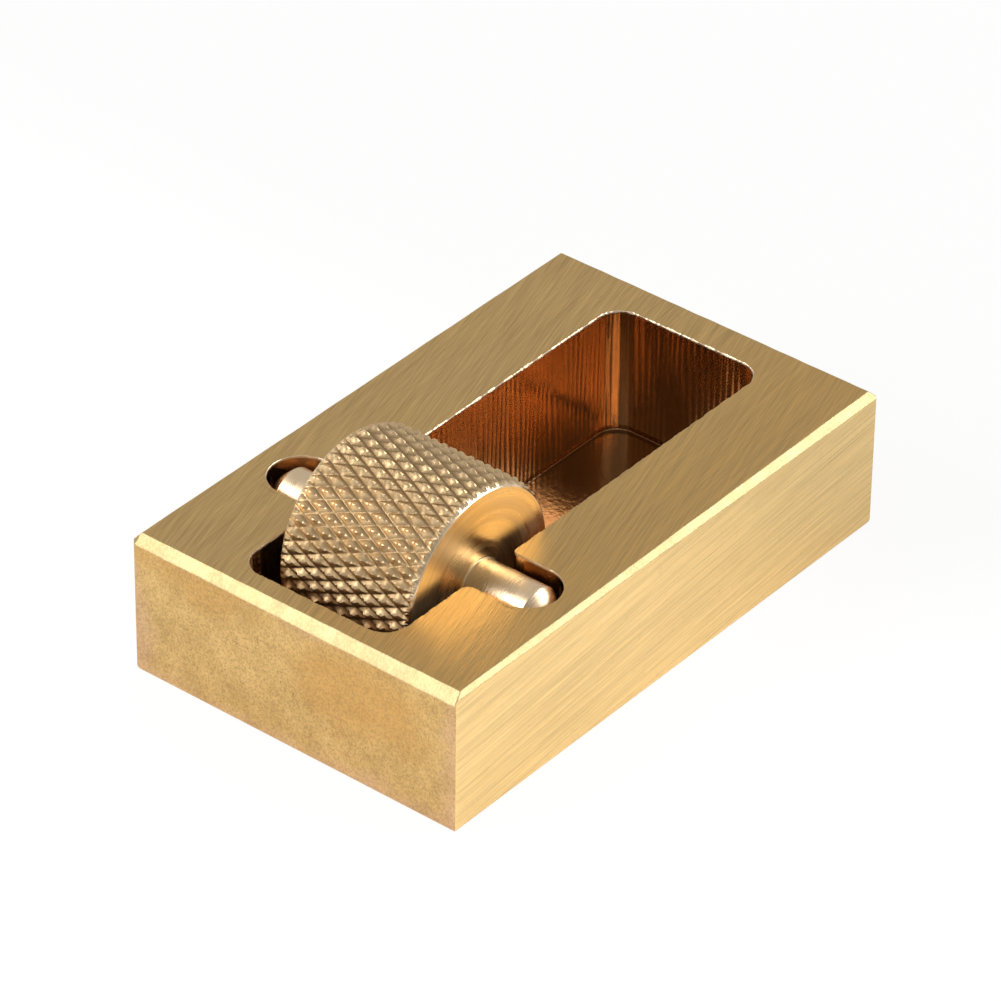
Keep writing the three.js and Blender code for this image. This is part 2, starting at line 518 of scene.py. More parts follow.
def brushed_finish(
    name, colour, tarnished, turn, *, lines=6000.0, stretch=0.03, roughness, depth,
    patches=120.0, contrast=0.3, cross=None, reflection_share=0.0,
):
    """Sanded brass: scratches in one direction, or in patches of two directions, with a soft change
    of colour and roughness. Reflection share is the share of a painted gold reflection of the
    roller's face blended in towards -Y."""
    material, tree, shader, place = new_metal(name, roughness)
    scratch = use_lines(tree, turned_vector(tree, place, turn), lines, stretch)
    tarnish = use_tarnish(tree, place, colour, tarnished, patches, 0.6, 0.12)
    height = scratch["Height"]
    streak = scratch["Streak"]
    if cross is not None:
        crossing = turned_vector(tree, place, cross)
        other = use_lines(tree, crossing, lines * 0.9, stretch * 1.6)
        patchy = spread(tree, noise(tree, place, 90.0, 2.0, 0.5), 0.35, 0.65, 0.2, 0.5)
        height = between(tree, patchy, height, other["Height"])
        streak = between(tree, patchy, streak, other["Streak"])
    lines_share = spread(tree, height, 0.62, 0.38, 0.0, contrast)
    streak_share = calc(tree, "MULTIPLY", streak, contrast * 0.22)
    share = calc(tree, "ADD", lines_share, streak_share)
    # Painted reflection: gold blended onto the face towards -Y, standing in for the roller's face
    # reflected onto the top
    reflection = spread(tree, split(tree, place)[1], *REFLECTION_FROM_TO, 0.0, reflection_share)
    with_reflection = blend_colours(tree, reflection, tarnish["Colour"], REFLECTED_GOLD)
    streaked = blend_colours(tree, share, with_reflection, darker(colour, 0.55))
    rough = spread(tree, streak, 0.0, 1.0, roughness - 0.06, roughness + 0.08)
    dress(tree, shader, streaked, rough, height, depth)
    return material


def sawn_finish(colours, half_width, height):
    """End face: matt and finely speckled, with orange blotches below the bevel and a pinkish
    border."""
    material, tree, shader, place = new_metal("sawn brass end", 0.5)
    tarnish = use_tarnish(tree, place, colours.sawn, (0.585, 0.39, 0.15), 430.0, 1.0, 0.9)
    _, y, z = split(tree, place)
    sideways = calc(tree, "ABSOLUTE", y)
    upright = calc(tree, "ABSOLUTE", calc(tree, "SUBTRACT", z, height / 2))
    cloud = noise(tree, place, 160.0, 4.0, 0.62)
    drift = calc(tree, "MULTIPLY", calc(tree, "SUBTRACT", cloud, 0.5), 0.006)
    near_side = spread(tree, calc(tree, "ADD", sideways, drift), half_width - 0.0018, half_width)
    near_edge = spread(tree, calc(tree, "ADD", upright, drift), height / 2 - 0.0016, height / 2)
    border = calc(tree, "MULTIPLY", calc(tree, "MAXIMUM", near_side, near_edge), 0.75)
    stained = blend_colours(tree, border, tarnish["Colour"], PINK_BORDER)
    # Stains: a long one below the bevel and a round one, with edges that drift with the cloud.
    # Each has a centre, how it is squeezed along Y and Z, its reach and its strength.
    stains = (
        ((0.0, 0.009, height - 0.0012), (0.0, 0.4, 1.0), 0.0022, 0.6),
        ((0.0, -0.0065, height * 0.62), (0.0, 0.62, 1.0), 0.0046, 0.85),
    )
    for centre, squeeze, reach, amount in stains:
        offset = vector_step(tree, "SUBTRACT", place, centre)
        squeezed = vector_step(tree, "MULTIPLY", offset, squeeze)
        distance = vector_step(tree, "LENGTH", squeezed, None, "Value")
        drifted = calc(tree, "ADD", distance, drift)
        stain = spread(tree, drifted, reach, reach * 0.4, 0.0, amount)
        stained = blend_colours(tree, stain, stained, ORANGE_STAIN)
    grit = noise(tree, place, 5200.0, 2.0, 0.75)
    speckle = spread(tree, grit, 0.56, 0.36, 0.0, 0.5)
    final = blend_colours(tree, speckle, stained, BROWN_SPECKLE)
    rough = spread(tree, tarnish["Mask"], 0.0, 0.8, 0.44, 0.56)
    dress(tree, shader, final, rough, grit, 0.00003)
    return material


def milled_finish(name, colour, sizes, upright):
    """Pocket surface: upright cutter marks on the walls with painted shade in the hollows between
    them, or soft marks on the floor.
    """
    material, tree, shader, place = new_metal(name, 0.2)
    faded = [part * 0.72 for part in colour]
    tarnish = use_tarnish(tree, place, colour, faded, 110.0, 0.6, 0.1)
    # Painted shade: the hollows between the ridges are darkened, so that the ridges' tops look
    # brighter than the hollows. How far a point stands out from the nearest wall's own plane tells
    # which it is.
    x, y, _ = split(tree, place)
    from_side = calc(tree, "SUBTRACT", sizes.pocket_width / 2, calc(tree, "ABSOLUTE", y))
    from_far = calc(tree, "SUBTRACT", sizes.length / 2 - sizes.far_end_wall, x)
    stands_out = calc(tree, "MINIMUM", from_side, from_far)
    hollow_shade = spread(tree, stands_out, 0.0, sizes.chatter * 0.5, 0.4 if upright else 0.0, 0.0)
    ribbed_with_shade = blend_colours(tree, hollow_shade, tarnish["Colour"], darker(colour, 0.35))
    stretch = (1.0, 1.0, 0.05) if upright else (1.0, 1.0, 1.0)
    marks = put(tree, "ShaderNodeMapping", {"Vector": place, "Scale": stretch}).outputs[0]
    height = noise(tree, marks, 2600.0, 1.0, 0.5)
    rough = spread(tree, tarnish["Mask"], 0.0, 0.7, 0.11, 0.22)
    dress(tree, shader, ribbed_with_shade, rough, height, 0.000012)
    return material


def turned_finish(name, colour, *, roughness, anisotropy, rings, depth, contrast):
    """Lathe-turned brass: rings about the roller's axis."""
    material, tree, shader, place = new_metal(name, roughness, anisotropy)
    centred = turned_vector(tree, place, UNTURNED, ROLLER_MIDDLE)
    feeds = {"Vector": centred, "Rings per metre": rings}
    marks = use_group(tree, "Turning rings", feeds)
    broad = calc(tree, "MULTIPLY", marks["Streak"], contrast)
    shade = calc(tree, "ADD", broad, spread(tree, marks["Height"], 0.6, 0.4, 0.0, contrast))
    ringed = blend_colours(tree, shade, opaque(colour), darker(colour, 0.6))
    rough = spread(tree, marks["Streak"], 0.0, 1.0, roughness - 0.04, roughness + 0.06)
    around = put(tree, "ShaderNodeTangent", direction_type="RADIAL", axis="Y")
    tree.links.new(around.outputs[0], shader.inputs["Tangent"])
    dress(tree, shader, ringed, rough, marks["Height"], depth)
    return material


def knurled_finish(colours, sizes):
    """Drum surface: rolled brass with fine folds along the first hand of grooves, fine grains,
    painted shade in the grooves and worn tips made paler with a painted highlight."""
    material, tree, shader, place = new_metal("knurled brass", 0.3)
    x, y, z = split(tree, turned_vector(tree, place, UNTURNED, ROLLER_MIDDLE))
    back_x = calc(tree, "MULTIPLY", x, -1.0)
    back_z = calc(tree, "MULTIPLY", z, -1.0)
    angle = calc(tree, "ARCTAN2", back_z, back_x)
    around = calc(tree, "MULTIPLY", angle, sizes.diameter / 2)
    unrolled = put(tree, "ShaderNodeCombineXYZ", {0: around, 1: y}).outputs[0]
    half_pitch = math.pi * sizes.diameter / sizes.knurl_lines / 2
    helix = math.atan2(half_pitch, sizes.knurl_step)
    feeds = {"Vector": unrolled, "Rotation": (0.0, 0.0, -math.pi / 2 - helix)}
    along = put(tree, "ShaderNodeMapping", feeds).outputs[0]
    folds = use_lines(tree, along, 6500.0, 0.12)["Height"]
    colour = colours.knurled
    faded = [part * 0.74 for part in colour]
    tarnish = use_tarnish(tree, place, colour, faded, 700.0, 0.7, 0.5)
    fold_share = spread(tree, folds, 0.62, 0.38, 0.0, 0.4)
    folded = blend_colours(tree, fold_share, tarnish["Colour"], darker(colour, 0.5))
    # Painted shade in the grooves, and paler worn tips with a painted highlight, both by the
    # distance from the axis
    reach = length_across(tree, back_x, back_z)
    tip = sizes.diameter / 2
    bottom = tip - sizes.knurl_depth
    edge = sizes.drum_width / 2 - sizes.drum_chamfer
    on_drum = spread(tree, calc(tree, "ABSOLUTE", y), edge, edge - 0.0001)
    groove_shade_share = spread(tree, reach, bottom + sizes.knurl_depth * 0.45, bottom, 0.0, 0.7)
    # Painted shade: the grooves are darkened by their depth
    groove_shade = opaque([colour[0] * 0.3, colour[1] * 0.25, colour[2] * 0.2])
    groove_shaded = blend_colours(tree, calc(tree, "MULTIPLY", groove_shade_share, on_drum), folded, groove_shade)
    # Worn tips with a painted highlight: the outermost points are made paler
    worn_highlight = spread(tree, reach, tip - 0.00007, tip - 0.00002, 0.0, 0.3)
    final = blend_colours(tree, calc(tree, "MULTIPLY", worn_highlight, on_drum), groove_shaded, WORN_HIGHLIGHT_BRASS)
    rough = spread(tree, tarnish["Mask"], 0.0, 0.7, 0.32, 0.46)
    first = dress(tree, shader, final, rough, folds, 0.00002)
    grains = noise(tree, place, 5200.0, 3.0, 0.65)
    bump(tree, shader, grains, 0.00002, first)
    return material


# ---- The block ----

# Everything here is in millimetres. Distances between samples round the pocket:
SAMPLE_STEP = 0.1
WALL_STEP = 0.075
SLOT_STEP = 0.16
SLOT_ROUND_STEP = 0.13
# How far from a rounding the ring lies that keeps the face next to it flat
HOLD = 0.12
# Roundings: the two edges of a bevel, the edges of the bottom, and the foot of the pocket's walls
EDGE_ROUND = 0.05
BOTTOM_ROUND = 0.5
FLOOR_FILLET = 0.12
# Rings on the flat faces: in from the outline of the bottom, of the pocket's rim and its floor
BOTTOM_RING = 6.0
RIM_RING = 0.32
FLOOR_RING = 0.45
# On the pocket's straight wall a slot's round end is squeezed in from both sides of the slot
SLOT_SQUEEZE = 0.9
# On the outside the slot's samples reach past it, and run ahead of it and after it
SLOT_PAST = 0.35
SLOT_LEAD = 1.3
MOUTH_LEAD = 1.2
SLOT_TAIL = 0.9
MOUTH_TAIL = 0.8
# Distance between the cutter's ridges
RIDGE_PITCH = 0.56


def tray_loops(s):
    """The closed loops that every row of the block follows, sample by sample: the pocket with
    its slots, the pocket alone, a unit rectangle and the outward direction on its corners.
    Each is worked out for one half and mirrored, since the block is the same on both sides."""
    half_x = s.length / MM / 2
    left = -half_x + s.roller_end_wall / MM
    right = half_x - s.far_end_wall / MM
    wall = s.pocket_width / MM / 2
    r = s.pocket_radius / MM
    slot_r = s.slot_width / MM / 2
    slot_end = s.width / MM / 2 - s.slot_wall / MM - slot_r
    mouth = s.mouth_radius / MM
    sharp = s.sharp_mouth / MM
    axis = ROLLER_MIDDLE.x / MM
    slot_left = axis - slot_r
    slot_right = axis + slot_r
    straight = half_x - s.corner_radius / MM
    quarter = math.pi / 2

    def side(first, last, count):
        """Places on the long side of the unit rectangle, from two places in millimetres."""
        return line((first / straight, -1), (last / straight, -1), count)

    def on_wall(first, last, count):
        """Places on the pocket's straight wall."""
        return line((first, -wall), (last, -wall), count)

    def count(length, step=SAMPLE_STEP):
        return max(4, round(length / step))

    n_end = count(wall - r)
    n_corner = count(r * quarter)
    n_near = count(slot_left - mouth - left - r)
    n_mouth = count(mouth * quarter)
    n_slot = count(slot_end - wall - mouth, SLOT_STEP)
    n_round = count(slot_r * math.pi, SLOT_ROUND_STEP)
    n_sharp = count(sharp * quarter)
    n_far = count(right - r - slot_right - sharp, WALL_STEP)
    round_x = arc((axis, 0), slot_r + SLOT_PAST, 2 * quarter, 4 * quarter, n_round)[:, 0]
    slot_from = slot_left - SLOT_PAST - SLOT_LEAD
    slot_to = slot_right + SLOT_PAST + SLOT_TAIL
    squeezed_left = slot_left + SLOT_SQUEEZE
    squeezed_right = slot_right - SLOT_SQUEEZE
    near = (0, -1)
    # Each leg: pocket with slots, pocket alone where it differs, unit rectangle, and direction
    legs = [
        (line((left, 0), (left, -wall + r), n_end), None, line((-1, 0), (-1, -1), n_end), (-1, 0)),
        (
            arc((left + r, -wall + r), r, 2 * quarter, 3 * quarter, n_corner),
            None,
            (-1, -1),
            arc((0, 0), 1, 2 * quarter, 3 * quarter, n_corner),
        ),
        (
            on_wall(left + r, slot_left - mouth, n_near),
            None,
            side(-straight, slot_from - MOUTH_LEAD, n_near),
            near,
        ),
        (
            arc((slot_left - mouth, -wall - mouth), mouth, quarter, 0, n_mouth),
            on_wall(slot_left - mouth, slot_left, n_mouth),
            side(slot_from - MOUTH_LEAD, slot_from, n_mouth),
            near,
        ),
        (
            line((slot_left, -wall - mouth), (slot_left, -slot_end), n_slot),
            on_wall(slot_left, squeezed_left, n_slot),
            side(slot_from, slot_left - SLOT_PAST, n_slot),
            near,
        ),
        (
            arc((axis, -slot_end), slot_r, 2 * quarter, 4 * quarter, n_round),
            on_wall(squeezed_left, squeezed_right, n_round),
            np.column_stack([round_x / straight, -np.ones(n_round)]),
            near,
        ),
        (
            line((slot_right, -slot_end), (slot_right, -wall - sharp), n_slot),
            on_wall(squeezed_right, slot_right, n_slot),
            side(slot_right + SLOT_PAST, slot_to, n_slot),
            near,
        ),
        (
            arc((slot_right + sharp, -wall - sharp), sharp, 2 * quarter, quarter, n_sharp),
            on_wall(slot_right, slot_right + sharp, n_sharp),
            side(slot_to, slot_to + MOUTH_TAIL, n_sharp),
            near,
        ),
        (
            on_wall(slot_right + sharp, right - r, n_far),
            None,
            side(slot_to + MOUTH_TAIL, straight, n_far),
            near,
        ),
        (
            arc((right - r, -wall + r), r, 3 * quarter, 4 * quarter, n_corner),
            None,
            (1, -1),
            arc((0, 0), 1, 3 * quarter, 4 * quarter, n_corner),
        ),
        (line((right, -wall + r), (right, 0), n_end), None, line((1, -1), (1, 0), n_end), (1, 0)),
    ]
    last = ((right, 0), (right, 0), (1, 0), (1, 0))
    loops = []
    for index in range(4):
        parts = [leg[0] if leg[index] is None else leg[index] for leg in legs]
        parts = [np.broadcast_to(part, leg[0].shape) for part, leg in zip(parts, legs)]
        half = np.vstack(parts + [np.asarray([last[index]], float)])
        loops.append(np.vstack([half[:-1], half[:0:-1] * (1, -1)]))
    in_slot = np.concatenate([np.full(len(leg[0]), leg[1] is not None) for leg in legs] + [[False]])
    loops.append(np.concatenate([in_slot[:-1], in_slot[:0:-1]]))
    return loops


def bar_loop(s, unit, corner, insets, radius):
    """One level of the bar: each point is a point of the inner rectangle plus the corner radius
    times its outward direction. The four insets are left, right, near and far."""
    left, right, near, far = insets
    half_x = s.length / MM / 2
    half_y = s.width / MM / 2
    low_x = -half_x + left + radius
    high_x = half_x - right - radius
    low_y = -half_y + near + radius
    high_y = half_y - far - radius
    x = low_x + (high_x - low_x) * (unit[:, 0] + 1) / 2 + radius * corner[:, 0]
    y = low_y + (high_y - low_y) * (unit[:, 1] + 1) / 2 + radius * corner[:, 1]
    return np.column_stack([x, y])


def tray_surface(s):
    """Rows of points from the middle of the bottom, up the outside, over the top, down into the
    pocket and to the middle of its floor, and the finish of each band between two rows."""
    pocket, inner, unit, corner, in_slot = tray_loops(s)
    samples = len(pocket)
    half_y = s.width / MM / 2
    top = s.height / MM
    place_x = unit[:, 0] * s.length / MM / 2
    place_y = unit[:, 1] * half_y
    # Bevel widths, a little uneven because they were filed by hand
    filed = 0.02 * wander((place_x + 2.3 * place_y) * 0.45, 5, 11)
    end_width = s.end_chamfer / MM - 0.0035 * place_y + filed
    far_width = s.far_chamfer / MM + filed
    gain = s.side_chamfer_gain / MM * (unit[:, 0] + 1) / 2
    near_width = s.side_chamfer / MM + gain + filed
    back_width = s.side_chamfer / MM + filed
    widths = (end_width, far_width, near_width, back_width)
    across = np.where(unit[:, 0] < 0, end_width, far_width)
    along = np.where(unit[:, 1] < 0, near_width, back_width)
    drop = corner[:, 0] ** 2 * across + corner[:, 1] ** 2 * along
    radius = s.corner_radius / MM
    rows = []
    bands = []

    def add(plan, height, band):
        rows.append(np.column_stack([plan, np.broadcast_to(height, samples)]))
        bands.append(band)

    def add_bar(inset, height, band):
        add(bar_loop(s, unit, corner, (inset,) * 4, max(radius - inset, 0.02)), height, band)

    # Bottom
    add(np.zeros((samples, 2)), 0.0, "bottom")
    add_bar(BOTTOM_RING, 0.0, "bottom")
    add_bar(BOTTOM_ROUND + HOLD, 0.0, "bottom")
    for turn in np.linspace(0, math.pi / 2, 5):
        inset = BOTTOM_ROUND * (1 - math.sin(turn))
        add_bar(inset, BOTTOM_ROUND * (1 - math.cos(turn)), "side")
    add_bar(0.0, BOTTOM_ROUND + HOLD, "side")
    add_bar(0.0, top / 2, "side")
    # Bevel: share of the bevel's width, extra inset, extra height
    slope = EDGE_ROUND * math.sqrt(0.5)
    lower = bend((0, 0, -EDGE_ROUND), (0, 0, 0), (0, slope, slope), 4)
    upper = bend((1, -slope, -slope), (1, 0, 0), (1, EDGE_ROUND, 0), 4)
    stations = np.vstack([[(0, 0, -EDGE_ROUND - HOLD)], lower, [(0.5, 0, 0)], upper])
    for index, (share, extra, rise) in enumerate(stations):
        insets = tuple(share * width + extra for width in widths)
        rounding = radius * (1 - 0.6 * share)
        band = "side" if index < 2 else "bevel"
        add(bar_loop(s, unit, corner, insets, rounding), top - (1 - share) * drop + rise, band)
    # Top
    insets = tuple(width + EDGE_ROUND + HOLD for width in widths)
    outer = bar_loop(s, unit, corner, insets, radius * 0.4)
    add(outer, top, "top")
    normal = outward(pocket)
    rim = pocket + normal * RIM_RING
    for share in (0.33, 0.67):
        add(outer + (rim - outer) * share, top, "top")
    add(rim, top, "top")
    # Rim with its burr. Each row: distance into the metal, its part that follows the bite, height
    # over the top as a share of the burr, and depth below the top as a share of the bite
    distance = np.cumsum(np.linalg.norm(pocket - np.roll(pocket, 1, 0), axis=1))
    ragged = wander(distance * 2.6, 7, 5) + 0.8 * wander(distance * 9.0, 7, 6)
    in_slots = np.where(in_slot, 1.6, 1.0)
    burr = s.burr / MM * in_slots * np.clip(0.45 + 0.4 * ragged, 0.06, 1.6)
    bite = np.where(in_slot, 0.45, 1.0) * np.clip(0.6 + 0.5 * ragged, 0.3, 1.4)
    burr_rows = ((0.2, 0, 0, 0), (0.05, 0.07, 0.8, 0), (0.02, 0.07, 1, 0), (0, 0, 0, 0.09))
    for out, share, lift, down in burr_rows:
        reach = (out + share * bite)[:, None]
        add(pocket + normal * reach, top + lift * burr - down * bite, "rim" if down else "top")
    # Upper walls, with the ridges the cutter left
    quiet = np.convolve(np.tile(in_slot, 3).astype(float), np.ones(9) / 9, "same")
    quiet = quiet[samples : 2 * samples]
    strength = np.where(in_slot, 0.0, np.clip(1 - 1.02 * quiet, 0, 1))
    inner_normal = outward(inner)

    def ridges(height):
        """Upright cusps about half a millimetre apart: one minus the absolute sine of the
        distance round the pocket, pushed about slowly with the height."""
        push = wander(distance * 0.6 + height * 0.15, 5, 21)
        phase = distance * math.pi / RIDGE_PITCH + 0.9 * push
        uneven = 0.65 + 0.45 * wander(distance * 1.1 - height * 0.3, 5, 22)
        return s.chatter / MM * strength * uneven * (1 - np.abs(np.sin(phase)))

    def add_wall(loop, loop_normal, height, band, inset=0.0):
        depth = (ridges(height) + inset)[:, None]
        add(loop - loop_normal * depth, height, band)

    slot_floor = s.slot_floor / MM
    add_wall(pocket, normal, top - 0.17, "rim")
    add_wall(pocket, normal, top - 0.25, "wall")
    for height in np.linspace(top - 1.1, slot_floor, 5):
        add_wall(pocket, normal, height, "wall")
    # Slot floors: their outline closes up onto the pocket's straight wall
    upper_edge = pocket - normal * ridges(slot_floor)[:, None]
    lower_edge = inner - inner_normal * ridges(slot_floor)[:, None]
    for share in (0.3, 0.65, 1.0):
        add(upper_edge + (lower_edge - upper_edge) * share, slot_floor, "wall")
    # Lower walls and floor
    floor = s.floor / MM
    for height in np.linspace(slot_floor - 0.7, floor + FLOOR_FILLET + 0.3, 7):
        add_wall(inner, inner_normal, height, "wall")
    for turn in np.linspace(0, math.pi / 2, 4):
        inset = FLOOR_FILLET * (1 - math.cos(turn))
        height = floor + FLOOR_FILLET * (1 - math.sin(turn))
        add_wall(inner, inner_normal, height, "floor", inset)
    middle = (inner.min(0) + inner.max(0)) / 2
    shrunk = inner - inner_normal * FLOOR_RING
    add(shrunk, floor, "floor")
    add(middle + (shrunk - middle) * 0.5, floor, "floor")
    add(np.broadcast_to(middle, (samples, 2)), floor, "floor")
    return rows, bands, unit, corner


def grid_faces(row_count, samples):
    """Quads between neighbouring rows of closed loops, wound to face outwards."""
    row = np.arange(row_count - 1)[:, None] * samples
    here = np.arange(samples)[None, :]
    onward = (here + 1) % samples
    corners = [row + here, row + onward, row + samples + onward, row + samples + here]
    return np.stack(corners, -1).reshape(-1, 4)


def build_tray(s, finishes):
    """The block as one closed surface, with a finish for each kind of face."""
    rows, bands, unit, corner = tray_surface(s)
    samples = len(unit)
    faces = grid_faces(len(rows), samples)
    on_end = (unit[:, 0] < -0.999) & (np.abs(corner[:, 0]) > 0.7)
    on_far_end = (unit[:, 0] > 0.999) & (np.abs(corner[:, 0]) > 0.7)
    names = list(finishes)
    index = np.zeros((len(rows) - 1, samples), int)
    for row in range(len(rows) - 1):
        band = bands[row + 1]
        if band == "side":
            picked = np.where(on_end, names.index("end"), names.index("side"))
            picked = np.where(on_far_end, names.index("far_end"), picked)
        elif band == "bevel":
            picked = np.where(on_end | on_far_end, names.index("end_bevel"), names.index("bevel"))
        else:
            picked = names.index(band)
        index[row] = picked
    return new_piece(
        "tray_block_visual",
        np.vstack(rows),
        faces,
        list(finishes.values()),
        index.ravel(),
        BLOCK_SHARP_DEGREES,
        "tray",
        "tray_block",
    )


# ---- The roller ----

KNURL_FINENESS = 10
# Across one cell, from groove to groove: even steps of the mesh, and where they are moved to,
# so that its lines lie on the edges of the groove floors, of the slopes and of the tips
EVEN_STEPS = (0.0, 0.1, 0.2, 0.3, 0.4, 0.5, 0.6, 0.7, 0.8, 0.9, 1.0)
MOVED_STEPS = (0.0, 0.03, 0.14, 0.26, 0.44, 0.5, 0.56, 0.74, 0.86, 0.97, 1.0)
# Slope of a point: distance from the groove, 1 in the middle of the cell, and share of the depth
SLOPE_AT = (0.0, 0.06, 0.52, 0.88, 1.0)
SLOPE_HEIGHT = (0.0, 0.0, 0.4, 0.97, 1.0)
SECOND_GROOVE_LIFT = 0.08
# Where a crossing of two grooves lies: its angle round the drum and its place along it
KNURL_TURN = math.radians(139.66)
KNURL_START = 1.378
# Millimetres: how far the even tips stay inside the drum's diameter, and how uneven they are
KNURL_CLEARANCE = 0.02
KNURL_UNEVENNESS = 0.014
# Millimetres: the radius at an axle's root, and the depth of the rings on the drum's faces
ROOT_RADIUS = 0.12
FACE_RINGS = 17
RING_DEPTH = 0.0022


def knurl_points(s, angle, along):
    """Where two hands of helical grooves cross on the drum: the radius, and the angle and place
    along it that each point is moved to. In lattice units the two give a pair of numbers, whole
    on the grooves of one hand and of the other. With the distance to the nearest whole number
    the surface rises gently from the groove, then steeply to a small tip. The lower of the two
    slopes holds, which leaves a four-sided point in each cell."""
    pitch = 2 * math.pi / s.knurl_lines
    depth = s.knurl_depth / MM
    step = s.knurl_step / MM
    around = (angle - KNURL_TURN) / pitch
    onward = (KNURL_START - along) / step
    lattice = []
    for place in (around - onward / 2, around + onward / 2):
        cell = np.floor(place + 1e-9)
        lattice.append(cell + np.interp(place - cell, EVEN_STEPS, MOVED_STEPS))
    first, second = lattice
    slopes = []
    for place, lift in ((first, 0.0), (second, SECOND_GROOVE_LIFT)):
        rise = np.interp(2 * np.abs(place - np.round(place)), SLOPE_AT, SLOPE_HEIGHT)
        slopes.append(lift + (1 - lift) * rise)
    height = np.minimum(slopes[0], slopes[1])
    slow = wander(angle * 9 + along * 2.1, 6, 41)
    quick = wander(angle * 23 - along * 3.3, 6, 42)
    uneven = np.clip(KNURL_UNEVENNESS * slow * quick, -0.04, 0.012)
    radius = s.diameter / MM / 2 - KNURL_CLEARANCE - depth * (1 - height) + uneven
    moved_angle = KNURL_TURN + pitch * (first + second) / 2
    moved_along = KNURL_START - step * (second - first)
    return radius, moved_angle, moved_along


def roller_surface(s):
    """Rows of points round the roller from one tip to the other. Each row is turned by half a
    step more than the last, so that the ridges of the knurl run along the mesh's own edges."""
    samples = s.knurl_lines * KNURL_FINENESS
    row_step = s.knurl_step / MM / KNURL_FINENESS
    half_drum = s.drum_width / MM / 2
    chamfer = s.drum_chamfer / MM
    radius = s.diameter / MM / 2
    face_radius = radius - chamfer
    axle = s.axle / MM / 2
    tip = s.length / MM / 2
    taper = s.tip_length / MM
    tip_radius = s.tip_diameter / MM / 2
    root = ROOT_RADIUS
    knurl_reach = half_drum - chamfer + s.knurl_depth / MM - KNURL_CLEARANCE
    first_row = math.ceil((KNURL_START - knurl_reach) / row_step)
    last_row = math.floor((KNURL_START + knurl_reach) / row_step)
    drum_rows = KNURL_START - np.arange(first_row, last_row + 1) * row_step
    # Outline of one end, from the middle of the tip to the drum's edge: radius and distance out
    end = [
        (0.0, tip, "turned"),
        (tip_radius * 0.5, tip, "turned"),
        (tip_radius - 0.06, tip, "turned"),
        (tip_radius, tip - 0.03, "turned"),
        (tip_radius + 0.08, tip - 0.1, "turned"),
        (axle - 0.08, tip - taper + 0.08, "turned"),
        (axle, tip - taper - 0.06, "turned"),
        (axle, tip - taper - 0.2, "turned"),
    ]
    for along in np.linspace(tip - taper - 0.8, half_drum + root + 0.2, 6):
        end.append((axle, along, "turned"))
    for turn in np.linspace(0, math.pi / 2, 5):
        out = axle + root * (1 - math.cos(turn))
        end.append((out, half_drum + root * (1 - math.sin(turn)), "face" if turn else "turned"))
    for index, out in enumerate(np.linspace(axle + root + 0.1, face_radius - 0.12, FACE_RINGS)):
        end.append((out, half_drum - RING_DEPTH * (index % 2), "face"))
    end.append((face_radius - 0.05, half_drum, "face"))
    for out, back in ((0.0, 0.01), (0.05, 0.05), (0.10, 0.10)):
        end.append((face_radius + out, half_drum - back, "chamfer"))
    middle = [(None, along, "knurl") for along in drum_rows]
    other = [(out, -along, band) for out, along, band in reversed(end)]
    stations = end + middle + other
    first_drum = len(end)
    rows = []
    bands = []
    pitch = 2 * math.pi / samples
    for index, (out, along, band) in enumerate(stations):
        shift = (index - first_drum + first_row) / 2
        angle = KNURL_TURN + pitch * (np.arange(samples) + shift)
        if out is None:
            reach, angle, along = knurl_points(s, angle, np.full(samples, along))
            reach = np.minimum(reach, face_radius + (half_drum - np.abs(along)))
        else:
            reach = np.full(samples, float(out))
        x = ROLLER_MIDDLE.x / MM + reach * np.cos(angle)
        z = ROLLER_MIDDLE.z / MM + reach * np.sin(angle)
        rows.append(np.column_stack([x, np.broadcast_to(along, samples), z]))
        bands.append(band)
    return rows, bands, samples


def staggered_faces(row_count, samples):
    """Triangles between rows that are each turned by half a step more than the last."""
    row = np.arange(row_count - 1)[:, None] * samples
    here = np.arange(samples)[None, :]
    onward = (here + 1) % samples
    first = np.stack([row + here, row + samples + here, row + onward], -1)
    second = np.stack([row + onward, row + samples + here, row + samples + onward], -1)
    return np.stack([first, second], 2).reshape(-1, 3)


def build_roller(s, finishes):
    """The roller as one closed surface, with a finish for each kind of face."""
    rows, bands, samples = roller_surface(s)
    faces = staggered_faces(len(rows), samples)
    names = list(finishes)
    per_row = [names.index(bands[row + 1]) for row in range(len(rows) - 1)]
    return new_piece(
        "knurled_roller_visual",
        np.vstack(rows),
        faces,
        list(finishes.values()),
        np.repeat(per_row, 2 * samples),
        ROLLER_SHARP_DEGREES,
        "roller",
        "knurled_roller",
    )


# ---- Operators ----


